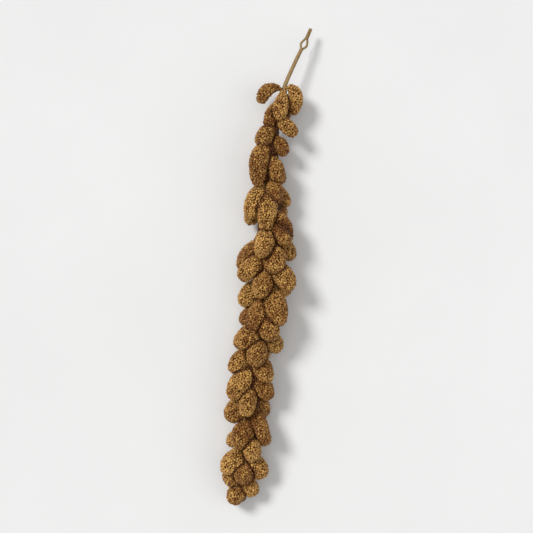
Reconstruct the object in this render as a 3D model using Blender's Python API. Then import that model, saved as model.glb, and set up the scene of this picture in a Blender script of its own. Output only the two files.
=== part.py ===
"""Spray millet: one dried seed head of foxtail millet, lying on a surface.

The cut stalk points along +Y and the tip of the head along -Y. Lengths are in metres, +Z is up.
The head is one grown body: a thin rachis that carries side branches, each of them a cluster covered
with grains. The bare stalk above it is a body of its own, split near its cut end into two strands.
"""

import math
import random

import bmesh
import bpy
from mathutils import Vector

MM = 0.001
UP = Vector((0.0, 0.0, 1.0))
FULL_TURN = 2.0 * math.pi

# The middle of the whole thing on the surface, in the frame in which its lines are drawn
MIDDLE = (-2.5, 0.1)

# The line of the rachis from the first cluster to the tip: x, y and height in millimetres
RACHIS_LINE = (
    (7.9, 105.3, 14.5),
    (4.7, 94.0, 13.9),
    (0.8, 82.2, 13.4),
    (-0.8, 66.4, 12.9),
    (0.0, 46.6, 13.4),
    (-0.8, 26.9, 14.5),
    (-1.6, 7.1, 15.6),
    (-2.4, -12.6, 15.9),
    (-5.5, -32.4, 15.0),
    (-9.5, -52.1, 14.4),
    (-11.9, -75.8, 13.3),
    (-13.4, -99.5, 12.1),
    (-16.2, -119.0, 10.8),
    (-18.4, -134.5, 7.5),
)
RACHIS_RADIUS = (2.0 * MM, 1.1 * MM)
RACHIS_END = 0.98
RACHIS_STEPS = 18

# A slim core along the rachis, where the clusters' own stems crowd together: its share of the head's
# radius, and how fast it swells from each end
CORE_PLACES = (0.03, 0.97)
CORE_SHARE = 0.40
CORE_END_SHARE = 0.2
CORE_SWELL = (6.0, 16.0)

# The bare stalk, from its cut end down to the first cluster: x, y and height in millimetres
STALK_LINE = (
    (24.1, 142.7, 9.0),
    (20.1, 133.3, 10.6),
    (17.2, 127.5, 11.6),
    (12.8, 118.0, 13.2),
    (8.9, 109.0, 14.3),
    (7.9, 105.3, 14.5),
)
STALK_RADIUS = (1.05 * MM, 1.25 * MM)
STALK_STEPS = 20
CUT_END_STEPS = 5
STALK_GAP = 0.3 * MM
SOCKET_START = 0.75

# The split in the stalk: two strands bow apart round a small eye
EYE = (0.14, 0.29)
EYE_OVERLAP = 0.035
EYE_HALF_WIDTH = 1.8 * MM
EYE_ROUNDNESS = 1.5
STRAND_RADIUS = 0.70 * MM
STRAND_STEPS = 10

# The first clusters, at the neck and below it, each placed by hand: the place on the rachis from 0 to 1,
# then from there the point that the cluster heads for and the point where it ends, and its thickness,
# all in millimetres
FIRST_CLUSTERS = (
    (0.006, (-11.5, 5.5, 1.0), (-14.0, -8.5, -1.0), 7.8),
    (0.006, (11.5, 5.0, 1.0), (4.5, -17.5, -1.0), 8.2),
    (0.010, (-1.0, -6.0, 6.0), (-3.5, -18.5, 5.5), 9.0),
    (0.020, (2.0, -4.0, -6.0), (0.5, -16.0, -7.5), 8.6),
    (0.055, (-5.0, -3.0, 1.5), (-8.5, -18.5, 3.0), 8.0),
    (0.120, (5.5, -1.0, 4.5), (13.0, -11.0, 4.5), 8.0),
    (0.130, (-2.0, -4.0, -3.0), (-2.0, -14.0, -6.5), 8.6),
    (0.140, (-3.5, -3.0, 4.0), (-8.5, -14.5, 4.5), 10.4),
    (0.190, (7.5, 1.5, 3.5), (8.0, -11.0, 3.5), 8.2),
    (0.195, (-9.0, -5.0, 9.0), (-7.0, -29.0, 8.0), 11.2),
    (0.200, (-4.0, -3.0, -6.0), (-7.0, -14.0, -9.5), 10.0),
    (0.235, (4.5, -4.0, 6.5), (5.5, -17.0, 6.0), 9.8),
    (0.245, (4.0, -3.0, -6.0), (7.0, -14.0, -9.5), 10.0),
    (0.285, (2.5, -4.0, 7.5), (4.0, -16.0, 7.0), 9.6),
    (0.290, (-3.0, -3.0, -7.0), (-6.0, -15.0, -10.5), 11.0),
    (0.300, (-10.0, -4.0, 6.0), (-12.5, -22.0, 5.0), 11.6),
    (0.305, (7.0, -2.0, -1.0), (10.5, -12.0, -1.0), 7.6),
    (0.310, (-2.0, -7.0, 11.0), (-3.0, -27.0, 9.5), 10.8),
    (0.335, (4.0, -3.0, -7.0), (6.0, -14.0, -11.0), 11.0),
    (0.345, (-8.0, -2.0, -2.0), (-14.0, -12.0, -4.0), 10.4),
    (0.360, (8.0, -5.0, 6.0), (9.5, -22.0, 5.0), 11.2),
)

# The rest of the clusters, placed by a rule: one after another round the rachis, each a fixed turn on
# from the last with a little scatter. A pair of sizes runs from the first of them to the last.
BODY_CLUSTERS = 50
BODY_PLACES = (0.375, 0.985)
TURN_DEG = 137.5
TURN_SCATTER_DEG = 12.0
CLUSTER_THICKNESS = (12.4 * MM, 10.6 * MM)
THICKNESS_SCATTER = (0.84, 1.12)
BODY_RADIUS = (17.8 * MM, 13.0 * MM)
RADIUS_SCATTER = (0.84, 1.04)
SEED = 21

# A cluster leans towards the tip. Those above and below lean more than those at the sides, and reach
# less far, because the head is pressed flat as it lies.
SIDE_LEAN = (0.90, 1.45)
LEAN_SCATTER = (0.6, 1.4)
LEAN_AT_ROOT = 0.3
PRESSED_SHARE = 0.90

# The head is slim at the neck, widens down to its full radius, and thins again near the tip
NECK_PLACE = 0.15
NECK_SHARE = 0.55
WIDENING = 1.8
THINNING = 0.35
THINNING_START = 0.84

# The last cluster carries on along the rachis
TIP_PLACE = 0.97
TIP_LENGTH = 12.0 * MM
TIP_THICKNESS = 8.6 * MM

# A cluster is slimmer at its root, up to this share of its length. Its ends are blunter than a sphere's,
# and its sides swell a little where they aren't round.
ROOT_SHARE = 0.50
ROOT_LENGTH_SHARE = 0.6
BLUNTNESS = 2.5
LOBE = 0.07
LOBE_TWIST = 2.0

# The relief of grains on each cluster
AROUND = 10
ALONG = 6
GRAIN_RISE = 1.5 * MM

# Everything below the surface that the head lies on is cut away with a box of this size
SURFACE_BOX = 0.5

# How far along a line its direction is looked for, and the same on a cluster's axis
LINE_STEP = 0.004
AXIS_STEP = 0.02

# How finely a tube is rounded, and the distance below which its points are one
TUBE_FINENESS = 2
WELD = 1e-6

STRAW = (0.56, 0.43, 0.24)
GRAIN = (0.52, 0.33, 0.12)
ROUGHNESS = 0.65


def material(name, colour):
    """A plain dry material with one colour."""
    made = bpy.data.materials.new(name)
    made.use_nodes = True
    shader = made.node_tree.nodes["Principled BSDF"]
    shader.inputs["Base Color"].default_value = (*colour, 1.0)
    shader.inputs["Roughness"].default_value = ROUGHNESS
    shader.inputs["Metallic"].default_value = 0.0
    return made


def clear_scene():
    """Removes whatever the file opened with."""
    for thing in list(bpy.data.objects):
        bpy.data.objects.remove(thing)


def in_metres(line):
    """A line's points as vectors, moved so that the middle of the head is at the origin."""
    middle = Vector((*MIDDLE, 0.0))
    return [(Vector(point) - middle) * MM for point in line]


def on_curve(points, t):
    """The point at t, from 0 to 1, on a smooth curve through evenly counted points."""
    at = min(max(t, 0.0), 1.0) * (len(points) - 1)
    i = min(int(at), len(points) - 2)
    f = at - i
    a = points[max(i - 1, 0)]
    b = points[i]
    c = points[i + 1]
    d = points[min(i + 2, len(points) - 1)]
    return 0.5 * (
        2.0 * b
        + (c - a) * f
        + (2.0 * a - 5.0 * b + 4.0 * c - d) * f ** 2
        + (3.0 * b - a - 3.0 * c + d) * f ** 3
    )


def along_curve(points, t):
    """The direction of the smooth curve at t."""
    return (on_curve(points, t + LINE_STEP) - on_curve(points, t - LINE_STEP)).normalized()


def smooth_step(t):
    """A smooth rise from 0 to 1."""
    t = min(1.0, max(0.0, t))
    return t * t * (3.0 - 2.0 * t)


def mix(pair, t):
    """A value that runs from the first of a pair to the second."""
    return pair[0] + (pair[1] - pair[0]) * t


def fullness(t):
    """How wide the head is at t against its full width: narrow at the neck, thin at the tip."""
    filling = min(1.0, NECK_SHARE + (t - NECK_PLACE) * WIDENING)
    near_tip = max(0.0, (t - THINNING_START) / (1.0 - THINNING_START))
    return filling * (1.0 - THINNING * near_tip ** 2)


def side_axes(forward):
    """Two directions across a line: level with the surface, and up from it."""
    across = forward.cross(UP).normalized()
    return across, across.cross(forward).normalized()


def cluster_list():
    """Every cluster: its root, the point that it heads for, its end, its thickness and its own turn."""
    draw = random.Random(SEED)
    rachis = in_metres(RACHIS_LINE)
    clusters = []
    for place, way, end, thickness in FIRST_CLUSTERS:
        root = on_curve(rachis, place)
        way = root + Vector(way) * MM
        clusters.append((root, way, root + Vector(end) * MM, thickness * MM, draw.uniform(0.0, FULL_TURN)))
    turn = 0.0
    for i in range(BODY_CLUSTERS):
        share = (i + 0.5) / BODY_CLUSTERS
        t = mix(BODY_PLACES, share)
        turn += math.radians(TURN_DEG + draw.uniform(-TURN_SCATTER_DEG, TURN_SCATTER_DEG))
        forward = along_curve(rachis, t)
        across, up = side_axes(forward)
        radial = across * math.cos(turn) + up * math.sin(turn)
        thickness = mix(CLUSTER_THICKNESS, share) * draw.uniform(*THICKNESS_SCATTER)
        pressed = math.sin(turn) ** 2
        reach = mix(BODY_RADIUS, share) * fullness(t) * draw.uniform(*RADIUS_SCATTER)
        reach *= mix((1.0, PRESSED_SHARE), pressed)
        lean = mix(SIDE_LEAN, pressed) * draw.uniform(*LEAN_SCATTER)
        root = on_curve(rachis, t)
        way = root + (radial + forward * lean * LEAN_AT_ROOT) * reach / 2
        end = root + (radial + forward * lean) * reach
        clusters.append((root, way, end, thickness, draw.uniform(0.0, FULL_TURN)))
    root = on_curve(rachis, TIP_PLACE)
    onward = along_curve(rachis, 1.0) * TIP_LENGTH
    clusters.append((root, root + onward / 2, root + onward, TIP_THICKNESS, 0.0))
    return clusters


def cluster_spine(cluster, share):
    """The point at a share of the way from a cluster's root to its end, on its bent axis."""
    root, way, end = cluster[:3]
    left = 1.0 - share
    return root * left ** 2 + way * (2.0 * share * left) + end * share ** 2


def cluster_length(cluster):
    """The length of a cluster's bent axis, from its root by its middle to its end."""
    middle = cluster_spine(cluster, 0.5)
    return (middle - cluster[0]).length + (cluster[2] - middle).length


def is_grain(vertex):
    """Whether a vertex of the sphere is the top of a grain: every other one is, like a chequerboard."""
    ring = round(math.acos(max(-1.0, min(1.0, vertex.co.z))) / math.pi * ALONG)
    column = round(math.atan2(vertex.co.y, vertex.co.x) / FULL_TURN * AROUND)
    return (ring + column) % 2 == 0


def split_between_grains(shape, grains):
    """Splits each four-sided face along the valley, so that every grain stands alone."""
    for face in list(shape.faces):
        low = [vertex for vertex in face.verts if vertex not in grains]
        if len(face.verts) == 4 and len(low) == 2:
            bmesh.utils.face_split(face, low[0], low[1])


def blunter(z):
    """How much wider than a sphere a cluster is at a height z from -1 to 1."""
    narrow = 1.0 - z ** 2
    if narrow < WELD:
        return 1.0
    return (1.0 - abs(z) ** BLUNTNESS) ** (1.0 / BLUNTNESS) / math.sqrt(narrow)


def add_cluster(collection, number, cluster):
    """One cluster: a sphere drawn out along the cluster's axis, with its grains raised."""
    thickness, turn = cluster[3:]
    straight = 1.0 - thickness / cluster_length(cluster)
    radius = (thickness - GRAIN_RISE) / 2
    side = (cluster[2] - cluster[0]).orthogonal().normalized()
    shape = bmesh.new()
    bmesh.ops.create_uvsphere(shape, u_segments=AROUND, v_segments=ALONG, radius=1.0)
    grains = {vertex for vertex in shape.verts if is_grain(vertex)}
    split_between_grains(shape, grains)
    for vertex in shape.verts:
        x, y, z = vertex.co
        share = 0.5 + 0.5 * z * straight
        slim = mix((ROOT_SHARE, 1.0), smooth_step((0.5 + 0.5 * z) / ROOT_LENGTH_SHARE))
        centre = cluster_spine(cluster, share)
        axis = (cluster_spine(cluster, share + AXIS_STEP) - centre).normalized()
        one = side.cross(axis).normalized()
        two = axis.cross(one).normalized()
        reach = radius + (GRAIN_RISE if vertex in grains else 0.0)
        swell = 1.0 + LOBE * math.sin(2.0 * math.atan2(y, x) + LOBE_TWIST * z + turn)
        vertex.co = centre + ((one * x + two * y) * slim * swell * blunter(z) + axis * z) * reach
    mesh = bpy.data.meshes.new(f"cluster_{number}")
    shape.to_mesh(mesh)
    shape.free()
    collection.objects.link(bpy.data.objects.new(mesh.name, mesh))


def tube(collection, name, line, radii):
    """A round tube along a line, with a radius at each point, made from a curve and turned into a mesh."""
    data = bpy.data.curves.new(name, "CURVE")
    data.dimensions = "3D"
    data.bevel_depth = 1.0
    data.bevel_resolution = TUBE_FINENESS
    data.use_fill_caps = True
    spline = data.splines.new("POLY")
    spline.points.add(len(line) - 1)
    for point, place, radius in zip(spline.points, line, radii):
        point.co = (*place, 1.0)
        point.radius = radius
    guide = bpy.data.objects.new(name + "_curve", data)
    collection.objects.link(guide)
    seen = guide.evaluated_get(bpy.context.evaluated_depsgraph_get())
    mesh = bpy.data.meshes.new_from_object(seen)
    thing = bpy.data.objects.new(name, mesh)
    thing.matrix_world = guide.matrix_world
    collection.objects.link(thing)
    bpy.data.objects.remove(guide)
    shape = bmesh.new()
    shape.from_mesh(mesh)
    bmesh.ops.remove_doubles(shape, verts=shape.verts, dist=WELD)
    bmesh.ops.recalc_face_normals(shape, faces=shape.faces)
    shape.to_mesh(mesh)
    shape.free()
    return thing


def join(target, others):
    """Joins a collection of objects to the target as one body, and removes them."""
    union = target.modifiers.new("join", "BOOLEAN")
    union.operation = "UNION"
    union.operand_type = "COLLECTION"
    union.collection = others
    union.solver = "MANIFOLD"
    apply_modifiers(target)
    for thing in list(others.objects):
        bpy.data.objects.remove(thing)
    bpy.data.collections.remove(others)


def apply_modifiers(thing):
    """Makes the evaluated mesh the object's own."""
    seen = thing.evaluated_get(bpy.context.evaluated_depsgraph_get())
    mesh = bpy.data.meshes.new_from_object(seen)
    thing.modifiers.clear()
    thing.data = mesh


def keep_largest_body(thing):
    """Fills sealed hollows and drops loose scraps: only the largest body of the mesh stays."""
    shape = bmesh.new()
    shape.from_mesh(thing.data)
    left = set(shape.verts)
    bodies = []
    while left:
        body = {left.pop()}
        edge = list(body)
        while edge:
            near = [e.other_vert(v) for v in edge for e in v.link_edges]
            edge = [v for v in set(near) if v in left]
            left.difference_update(edge)
            body.update(edge)
        bodies.append(body)
    bodies.sort(key=len)
    for body in bodies[:-1]:
        bmesh.ops.delete(shape, geom=list(body), context="VERTS")
    shape.to_mesh(thing.data)
    shape.free()


def build_core(clusters, rachis):
    """The crowded stems round the rachis: a slim core that every cluster of the body stands out of."""
    places = [mix(CORE_PLACES, i / RACHIS_STEPS) for i in range(RACHIS_STEPS + 1)]
    radii = []
    for t in places:
        from_neck = CORE_END_SHARE + CORE_SWELL[0] * (t - CORE_PLACES[0])
        from_tip = CORE_END_SHARE + CORE_SWELL[1] * (CORE_PLACES[1] - t)
        full = CORE_SHARE * mix(BODY_RADIUS, t) * fullness(t)
        radii.append(max(RACHIS_RADIUS[1], full * min(1.0, from_neck, from_tip)))
    tube(clusters, "core", [on_curve(rachis, t) for t in places], radii)


def build_seed_head(parts, cutters):
    """The rachis with every cluster joined to it, cut flat where it rests on the surface."""
    rachis = in_metres(RACHIS_LINE)
    shares = [i / RACHIS_STEPS for i in range(RACHIS_STEPS + 1)]
    head = tube(
        parts,
        "seed_head",
        [on_curve(rachis, share * RACHIS_END) for share in shares],
        [mix(RACHIS_RADIUS, share) for share in shares],
    )
    clusters = bpy.data.collections.new("clusters")
    bpy.context.scene.collection.children.link(clusters)
    build_core(clusters, rachis)
    for number, cluster in enumerate(cluster_list()):
        add_cluster(clusters, number, cluster)
    join(head, clusters)
    cut_away(head, surface_cutter(cutters))
    cut_away(head, socket_cutter(cutters))
    keep_largest_body(head)
    head.data.materials.clear()
    head.data.materials.append(material("grain", GRAIN))
    return head


def cut_away(thing, cutter):
    """Takes a cutter's shape out of a thing."""
    cutter.hide_render = True
    cutter.display_type = "WIRE"
    cut = thing.modifiers.new("cut", "BOOLEAN")
    cut.operation = "DIFFERENCE"
    cut.object = cutter
    cut.solver = "MANIFOLD"
    apply_modifiers(thing)


def surface_cutter(cutters):
    """The space below the surface, which presses the lowest clusters flat."""
    bpy.ops.mesh.primitive_cube_add(size=SURFACE_BOX)
    box = bpy.context.object
    box.name = "surface_cutter"
    box.location = (0.0, 0.0, -SURFACE_BOX / 2)
    for collection in list(box.users_collection):
        collection.objects.unlink(box)
    cutters.objects.link(box)
    return box


def socket_cutter(cutters):
    """The room that the end of the stalk needs among the first clusters."""
    stalk = in_metres(STALK_LINE)
    places = [mix((SOCKET_START, 1.0), i / STALK_STEPS) for i in range(STALK_STEPS + 1)]
    line = [on_curve(stalk, t) for t in places]
    line.append(line[-1] + along_curve(stalk, 1.0) * STALK_GAP)
    radii = [mix(STALK_RADIUS, t) + STALK_GAP for t in places]
    return tube(cutters, "socket_cutter", line, radii + radii[-1:])


def strand_line(stalk, side):
    """One strand of the split: it bows out to its side of the eye and comes back."""
    line = []
    for i in range(STRAND_STEPS + 1):
        share = i / STRAND_STEPS
        t = mix((EYE[0] - EYE_OVERLAP, EYE[1] + EYE_OVERLAP), share)
        across, _ = side_axes(along_curve(stalk, t))
        bow = math.sin(math.pi * share) ** EYE_ROUNDNESS * EYE_HALF_WIDTH
        line.append(on_curve(stalk, t) + across * bow * side)
    return line


def stalk_tube(collection, name, stalk, places, steps):
    """A stretch of the bare stalk between two places on its line."""
    stretch = [mix(places, i / steps) for i in range(steps + 1)]
    line = [on_curve(stalk, t) for t in stretch]
    return tube(collection, name, line, [mix(STALK_RADIUS, t) for t in stretch])


def build_stalk(parts):
    """The bare stalk from its cut end to the head, split once into two strands round an eye."""
    stalk = in_metres(STALK_LINE)
    body = stalk_tube(parts, "stalk", stalk, (EYE[1], 1.0), STALK_STEPS)
    pieces = bpy.data.collections.new("strands")
    bpy.context.scene.collection.children.link(pieces)
    stalk_tube(pieces, "cut_end", stalk, (0.0, EYE[0]), CUT_END_STEPS)
    for name, side in (("left_strand", -1.0), ("right_strand", 1.0)):
        line = strand_line(stalk, side)
        tube(pieces, name, line, [STRAND_RADIUS] * len(line))
    join(body, pieces)
    keep_largest_body(body)
    body.data.materials.clear()
    body.data.materials.append(material("straw", STRAW))
    return body


def main():
    clear_scene()
    parts = bpy.data.collections.new("millet_seed_head")
    bpy.context.scene.collection.children.link(parts)
    cutters = bpy.data.collections.new("cutters")
    bpy.context.scene.collection.children.link(cutters)
    build_seed_head(parts, cutters)
    build_stalk(parts)


main()
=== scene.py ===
"""Spray millet, one dried seed head lying on a pale floor, with every grain, stem and fibre modelled.

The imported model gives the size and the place. The head's clusters follow the same rule as the solids:
one after another round the rachis, a fixed turn apart. Each cluster is then covered with grains.
"""

import math
import random

import bpy
import numpy as np
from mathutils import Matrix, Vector
from mathutils.kdtree import KDTree


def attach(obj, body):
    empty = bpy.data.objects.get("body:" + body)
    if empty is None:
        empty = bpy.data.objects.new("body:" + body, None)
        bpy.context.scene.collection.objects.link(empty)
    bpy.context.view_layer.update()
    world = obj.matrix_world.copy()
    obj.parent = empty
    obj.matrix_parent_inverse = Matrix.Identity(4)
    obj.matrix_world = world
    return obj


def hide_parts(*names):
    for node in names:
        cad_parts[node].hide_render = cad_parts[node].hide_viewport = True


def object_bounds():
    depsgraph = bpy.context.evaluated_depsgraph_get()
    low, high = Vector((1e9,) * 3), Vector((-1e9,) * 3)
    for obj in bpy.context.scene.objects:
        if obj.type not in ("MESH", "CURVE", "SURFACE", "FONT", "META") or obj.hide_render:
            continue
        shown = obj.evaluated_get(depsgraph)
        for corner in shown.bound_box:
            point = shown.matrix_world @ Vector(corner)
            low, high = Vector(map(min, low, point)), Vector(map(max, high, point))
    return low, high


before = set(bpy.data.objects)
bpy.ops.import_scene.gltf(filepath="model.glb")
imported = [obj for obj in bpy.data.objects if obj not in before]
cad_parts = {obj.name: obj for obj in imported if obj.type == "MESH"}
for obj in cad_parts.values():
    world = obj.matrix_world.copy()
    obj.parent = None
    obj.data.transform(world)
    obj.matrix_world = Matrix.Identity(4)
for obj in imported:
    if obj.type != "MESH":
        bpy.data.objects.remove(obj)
CAD_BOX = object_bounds()

bl_info = {
    "name": "Millet seed head",
    "version": (1, 0, 0),
    "blender": (4, 5, 0),
    "location": "View3D > Sidebar > Millet",
    "description": "Dresses a dried millet seed head with grains, stems and straw",
    "category": "Object",
}

MM = 0.001
UP = Vector((0.0, 0.0, 1.0))
FULL_TURN = 2.0 * math.pi
BODY = "root"

# The middle of the whole thing on the surface, and the lines of the rachis and the stalk, in millimetres
# and in the same numbers as the solids
MIDDLE = (-2.5, 0.1)
RACHIS_LINE = (
    (7.9, 105.3, 14.5),
    (4.7, 94.0, 13.9),
    (0.8, 82.2, 13.4),
    (-0.8, 66.4, 12.9),
    (0.0, 46.6, 13.4),
    (-0.8, 26.9, 14.5),
    (-1.6, 7.1, 15.6),
    (-2.4, -12.6, 15.9),
    (-5.5, -32.4, 15.0),
    (-9.5, -52.1, 14.4),
    (-11.9, -75.8, 13.3),
    (-13.4, -99.5, 12.1),
    (-16.2, -119.0, 10.8),
    (-18.4, -134.5, 7.5),
)
STALK_LINE = (
    (24.1, 142.7, 9.0),
    (20.1, 133.3, 10.6),
    (17.2, 127.5, 11.6),
    (12.8, 118.0, 13.2),
    (8.9, 109.0, 14.3),
    (7.9, 105.3, 14.5),
)

# The clusters of the neck: each one's place on the rachis, the point that it sets out for and its end,
# both from its root, and its thickness
FIRST_CLUSTERS = (
    (0.006, (-11.5, 5.5, 1.0), (-14.0, -8.5, -1.0), 7.8),
    (0.006, (11.5, 5.0, 1.0), (4.5, -17.5, -1.0), 8.2),
    (0.010, (-1.0, -6.0, 6.0), (-3.5, -18.5, 5.5), 9.0),
    (0.020, (2.0, -4.0, -6.0), (0.5, -16.0, -7.5), 8.6),
    (0.055, (-5.0, -3.0, 1.5), (-8.5, -18.5, 3.0), 8.0),
    (0.120, (5.5, -1.0, 4.5), (13.0, -11.0, 4.5), 8.0),
    (0.130, (-2.0, -4.0, -3.0), (-2.0, -14.0, -6.5), 8.6),
    (0.140, (-3.5, -3.0, 4.0), (-8.5, -14.5, 4.5), 10.4),
    (0.190, (7.5, 1.5, 3.5), (8.0, -11.0, 3.5), 8.2),
    (0.195, (-9.0, -5.0, 9.0), (-7.0, -29.0, 8.0), 11.2),
    (0.200, (-4.0, -3.0, -6.0), (-7.0, -14.0, -9.5), 10.0),
    (0.235, (4.5, -4.0, 6.5), (5.5, -17.0, 6.0), 9.8),
    (0.245, (4.0, -3.0, -6.0), (7.0, -14.0, -9.5), 10.0),
    (0.285, (2.5, -4.0, 7.5), (4.0, -16.0, 7.0), 9.6),
    (0.290, (-3.0, -3.0, -7.0), (-6.0, -15.0, -10.5), 11.0),
    (0.300, (-10.0, -4.0, 6.0), (-12.5, -22.0, 5.0), 11.6),
    (0.305, (7.0, -2.0, -1.0), (10.5, -12.0, -1.0), 7.6),
    (0.310, (-2.0, -7.0, 11.0), (-3.0, -27.0, 9.5), 10.8),
    (0.335, (4.0, -3.0, -7.0), (6.0, -14.0, -11.0), 11.0),
    (0.345, (-8.0, -2.0, -2.0), (-14.0, -12.0, -4.0), 10.4),
    (0.360, (8.0, -5.0, 6.0), (9.5, -22.0, 5.0), 11.2),
)

# The rule for the clusters of the body, as in the solids. A pair runs from the neck to the tip, or is the
# scatter's least and most. The clusters that point sideways lean towards the tip less than those that
# point up or down, and these reach less far, because the head is pressed flat as it lies.
BODY_CLUSTERS = 50
BODY_PLACES = (0.375, 0.985)
TURN_DEG = 137.5
TURN_SCATTER_DEG = 12.0
CLUSTER_THICKNESS = (12.4 * MM, 10.6 * MM)
THICKNESS_SCATTER = (0.84, 1.12)
BODY_RADIUS = (17.8 * MM, 13.0 * MM)
RADIUS_SCATTER = (0.84, 1.04)
SIDE_LEAN = (0.90, 1.45)
LEAN_SCATTER = (0.6, 1.4)
LEAN_AT_ROOT = 0.3
PRESSED_SHARE = 0.90
SEED = 21

# How a cluster is shaped: blunt ends, two low lobes that wind along it, and a slimmer root
BLUNTNESS = 2.5
LOBE = 0.07
LOBE_TWIST = 2.0
ROOT_SHARE = 0.50
ROOT_LENGTH_SHARE = 0.6

# How full the head is: its share of the width at the neck, how fast it widens from there, and how much
# thinner it is at the tip
NECK_PLACE = 0.15
NECK_SHARE = 0.55
WIDENING = 1.8
THINNING = 0.35
THINNING_START = 0.84

# The last cluster, in line with the rachis
TIP_PLACE = 0.97
TIP_LENGTH = 12.0 * MM
TIP_THICKNESS = 8.6 * MM

# How far apart two places are taken to find the direction of a line or of a cluster's axis
LINE_STEP = 0.004
AXIS_STEP = 0.02

# A grain: an ovoid of a few faces, how much its tip leans towards the cluster's end, and how deep it
# sits, as a share of half a grain. Smaller grains fill the room left between the others. All of them
# are kept a gap above the floor.
GRAIN_SEGMENTS = 6
GRAIN_RINGS = 5
GRAIN_SHAPE = (0.50, 0.47, 0.60)
GRAIN_LEAN = 0.45
TIP_SCATTER = 0.12
GRAIN_SINK = (0.38, 0.72)
GRAIN_SIZES = (0.86, 1.12)
SMALL_SHARE = 0.80
FLOOR_GAP = 0.15 * MM
GRAINS_PER_PIECE = 4000
GRAIN_SEED = 5

# How places for grains are looked for: how finely a cluster's area is summed up, how many places are
# tried for each grain, how near the ends they may be, and how far off the surface's slope is read
LEVELS = 96
TRIES = 14
NEAR_END = 0.999
NEARBY = 0.01

# Tones run from 0, brown, to 1, pale: the middle one, and their scatter by cluster and by grain
MIDDLE_TONE = 0.40
CLUSTER_TONES = 0.11
GRAIN_TONES = 0.19

# A grain is left out inside another cluster. It is in a valley if another cluster, enlarged, reaches it,
# and in a deep one if less enlarging does. There it gets painted shade: a browner tone, and more of it
# in the husk's dark colour. Grains on the crowded stems in the middle get more painted shade still.
INSIDE_SHARE = 0.97
VALLEY_SHARES = (1.32, 1.16)
VALLEY_SHADE_TONE = 0.26
VALLEY_SHADE_DEPTH = 0.16
CORE_SHADE = 2.0

# How finely a cluster is looked at for what it holds, and how far past a level still counts
HELD_LEVELS = 25
HELD_SHARE = 0.3
TINY = 1e-12

# The dark husks under the grains of a cluster, open a little at their ends before the caps. Their dark
# colour is partly their own brown and partly painted shade between the grains.
HUSK_SEGMENTS = 18
HUSK_LEVELS = 14
HUSK_DEPTH = 0.60 * MM
HUSK_CAP = 0.06

# The rachis: its radius at the neck and at the tip. Ribs are how high they stand as a share of the
# radius, how many there are, and how far they wind from end to end. A roughness is the scatter on them.
RACHIS_RADIUS = (2.0 * MM, 1.1 * MM)
RACHIS_END = 0.98
RACHIS_STEPS = 160
RACHIS_SEGMENTS = 24
RACHIS_RIBS = (0.10, 9, 6.0)
RACHIS_ROUGHNESS = 0.015

# The crowded stems round the rachis, as a share of the head's width, less towards both ends, and how
# fast they swell from the neck and from the tip
CORE_PLACES = (0.03, 0.97)
CORE_SHARE = 0.36
CORE_END_SHARE = 0.2
CORE_SWELL = (6.0, 16.0)
CORE_SEGMENTS = 48
CORE_RIBS = (0.16, 7, 40.0)
CORE_ROUGHNESS = 0.06

# The side stems: how far above its cluster one leaves the rachis, the height on the cluster where it ends
# and how deep it is sunk there, how far it bows out, and how it tapers
STEM_START = 0.030
STEM_END = -0.35
STEM_SINK = 0.5 * MM
STEM_BOW = 2.2 * MM
STEM_STEPS = 12
STEM_RADIUS = (0.75 * MM, 0.50 * MM)
STEM_SCATTER = (0.8, 1.2)
STEM_TAPER = 0.4
STEM_SEGMENTS = 10
STEM_LOOKS = 18

# The bare stalk, where it is cut, and how many rings its cut end, its long stretch and a strand have
STALK_RADIUS = (1.05 * MM, 1.25 * MM)
STALK_SEGMENTS = 36
STALK_RIBS = (0.035, 9, 1.5)
FINE_RIBS = (0.02, 23, -4.0)
CUT_PLACE = 0.012
STRETCH_STEPS = (24, 70, 40)
PITH_DEPTH = 1.0 * MM

# The split: an eye between two strands, each flatter on its inner side
EYE = (0.14, 0.29)
EYE_OVERLAP = 0.035
EYE_HALF_WIDTH = 1.75 * MM
EYE_ROUNDNESS = 1.5
STRAND_RADIUS = 0.72 * MM
STRAND_FLATNESS = 0.22

# The torn fibres round the cut end: their scatter in turn, the place of their feet on the stalk, how far
# out they stand, how far they reach past the cut, and their radii from foot to head
FIBRE_COUNT = 9
FIBRE_SCATTER = 0.2
FIBRE_FOOT = 0.04
FIBRE_OUT = 0.8
FIBRE_SPREAD = 1.04
FIBRE_REACH = (0.05, 0.35)
FIBRE_RADII = (0.16 * MM, 0.13 * MM, 0.03 * MM)
FIBRE_SEGMENTS = 6

# The finishes. A noise is how many blobs it has in a metre, and its detail. It is read from one range of
# its values, MIDDLING where nothing else is said, and carried to another, such as two roughnesses.
MIDDLING = (0.3, 0.7)

# Grains: the patches of tone on the head, the places of brown, golden and pale among the tones, the
# heights on a grain between which the husk's dark colour gives way to its own, partly the husk that it
# sits in and partly painted shade at its base, and its fine skin
PATCH_NOISE = (70.0, 3.0)
PATCH_RANGE = (0.35, 0.65)
PATCH_TONES = (-0.16, 0.16)
TONE_PLACES = (0.10, 0.50, 0.92)
IN_HUSK = (0.40, 0.84)
SKIN_NOISE = (2600.0, 2.0)
SKIN_BUMP = 0.06 * MM
SKIN_STRENGTH = 0.7
GRAIN_ROUGHNESS = (0.40, 0.62)
GRAIN_SHEEN = 0.30

# Husks: crumbs of two browns
CRUMB_NOISE = (900.0, 4.0)
CRUMB_PLACES = (0.35, 0.68)
CRUMB_BUMP = 0.5 * MM
DARK_HUSK = 0.45
HUSK_ROUGHNESS = (0.75, 0.95)
HUSK_SHEEN = 0.15
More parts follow.
